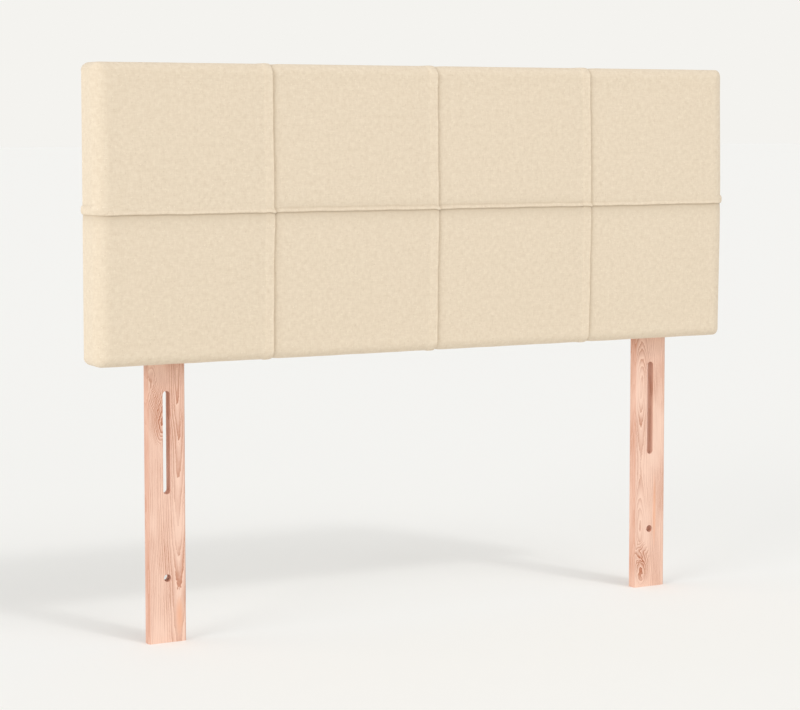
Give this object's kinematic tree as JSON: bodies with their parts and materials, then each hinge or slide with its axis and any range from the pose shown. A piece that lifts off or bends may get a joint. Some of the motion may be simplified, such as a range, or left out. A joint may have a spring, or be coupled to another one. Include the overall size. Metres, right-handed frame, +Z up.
{
  "type": "upholstered headboard",
  "caption": "Low padded headboard: a fabric panel sewn in squares over a wooden frame, on two slotted softwood legs that bolt to a bed and let the panel be set higher.",
  "frame": {"origin": "on the floor, under the middle of the headboard's box", "axes": "+X to the right as seen from the padded front, +Y from the front to the back, +Z up"},
  "size_m": [1.004, 0.0574, 0.7812],
  "materials": {
    "cover_fabric": "fine cream weave",
    "foam": "open-cell foam",
    "back_cloth": "thin felted lining",
    "leg_wood": "planed raw softwood",
    "frame_wood": "sawn raw softwood",
    "board": "smooth hardboard",
    "steel": "bright zinc plate"
  },
  "bodies": {
    "legs": {"left_leg": "leg_wood", "right_leg": "leg_wood"},
    "panel": {"cover_upper_far_left": "cover_fabric", "cover_upper_left": "cover_fabric", "cover_upper_right": "cover_fabric", "cover_upper_far_right": "cover_fabric", "cover_lower_far_left": "cover_fabric", "cover_lower_left": "cover_fabric", "cover_lower_right": "cover_fabric", "cover_lower_far_right": "cover_fabric", "foam_pad": "foam", "back_cloth": "back_cloth", "top_rail": "frame_wood", "bottom_rail": "frame_wood", "left_stile": "frame_wood", "centre_stile": "frame_wood", "right_stile": "frame_wood", "left_leg_batten": "frame_wood", "right_leg_batten": "frame_wood", "left_leg_outer_guide": "frame_wood", "left_leg_inner_guide": "frame_wood", "right_leg_outer_guide": "frame_wood", "right_leg_inner_guide": "frame_wood", "front_board": "board", "leg_bolts": "steel", "washers": "steel", "t_nuts": "steel"}
  },
  "joints": [
    {"name": "panel_height", "type": "slide", "parent": "legs", "child": "panel", "axis": [0, 0, 1], "range_m": [0, 0.1]}
  ]
}
